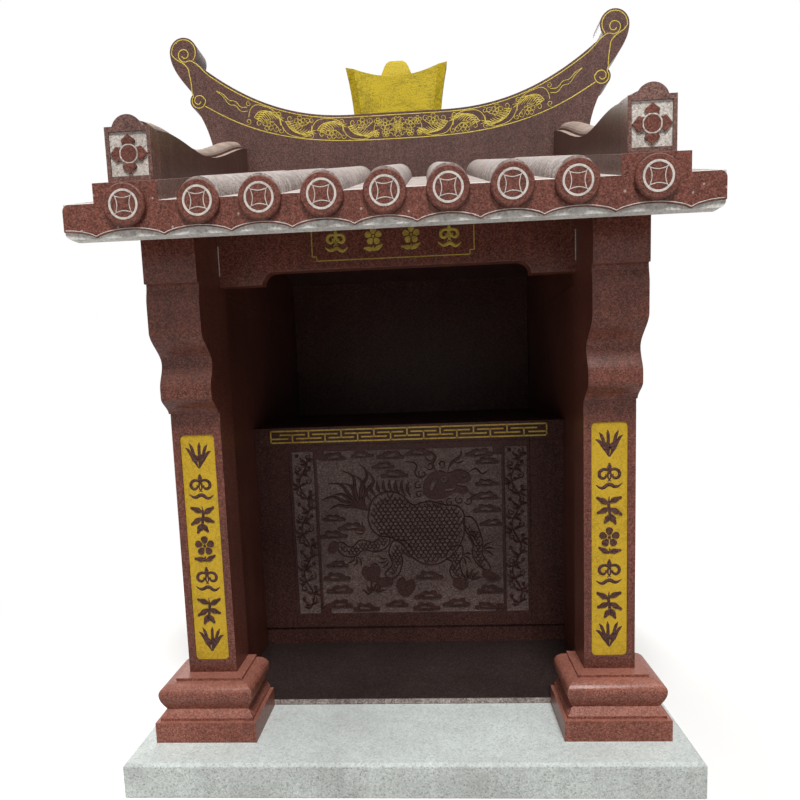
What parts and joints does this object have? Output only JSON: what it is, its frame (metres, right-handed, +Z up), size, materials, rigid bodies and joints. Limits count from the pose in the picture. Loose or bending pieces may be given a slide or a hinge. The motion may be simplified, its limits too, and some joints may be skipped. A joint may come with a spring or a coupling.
{
  "type": "stone shrine",
  "caption": "Open-fronted granite shrine on a slab, with moulded columns, waved corbels, a carved altar and a tiled roof under a swallowtail scroll ridge.",
  "frame": {"origin": "middle of the slab's underside, on the ground", "axes": "+Z up, +X to the right along the ridge, +Y to the back; the open front faces -Y"},
  "size_m": [1.924, 2.168, 2.7633],
  "materials": {
    "grey_granite": "flamed grey granite",
    "red_granite": "polished red granite",
    "sawn_granite": "sawn pale red granite",
    "gold_paint": "granite under gold paint"
  },
  "bodies": {
    "root": {"base_slab": "grey_granite", "floor_plate": "red_granite", "left_column_base": "red_granite", "right_column_base": "red_granite", "left_column_shaft": "red_granite", "right_column_shaft": "red_granite", "left_corbel": "red_granite", "right_corbel": "red_granite", "left_side_wall": "red_granite", "right_side_wall": "red_granite", "left_gable": "red_granite", "right_gable": "red_granite", "back_wall": "red_granite", "front_lintel": "red_granite", "altar_skirting": "red_granite", "altar_panel": "red_granite", "altar_left_stile": "red_granite", "altar_right_stile": "red_granite", "altar_top": "red_granite", "front_roof_slab": "sawn_granite", "back_roof_slab": "sawn_granite", "front_eave_board": "sawn_granite", "back_eave_board": "sawn_granite", "front_drip_apron": "red_granite", "back_drip_apron": "red_granite", "front_eave_discs": "red_granite", "back_eave_discs": "red_granite", "front_tile_rolls": "sawn_granite", "back_tile_rolls": "sawn_granite", "left_front_verge_course": "red_granite", "right_front_verge_course": "red_granite", "left_back_verge_course": "red_granite", "right_back_verge_course": "red_granite", "left_front_verge_ridge": "red_granite", "right_front_verge_ridge": "red_granite", "left_back_verge_ridge": "red_granite", "right_back_verge_ridge": "red_granite", "left_front_end_block": "red_granite", "right_front_end_block": "red_granite", "left_back_end_block": "red_granite", "right_back_end_block": "red_granite", "main_ridge": "red_granite", "ingot_body": "gold_paint", "ingot_dome": "gold_paint"}
  },
  "joints": []
}
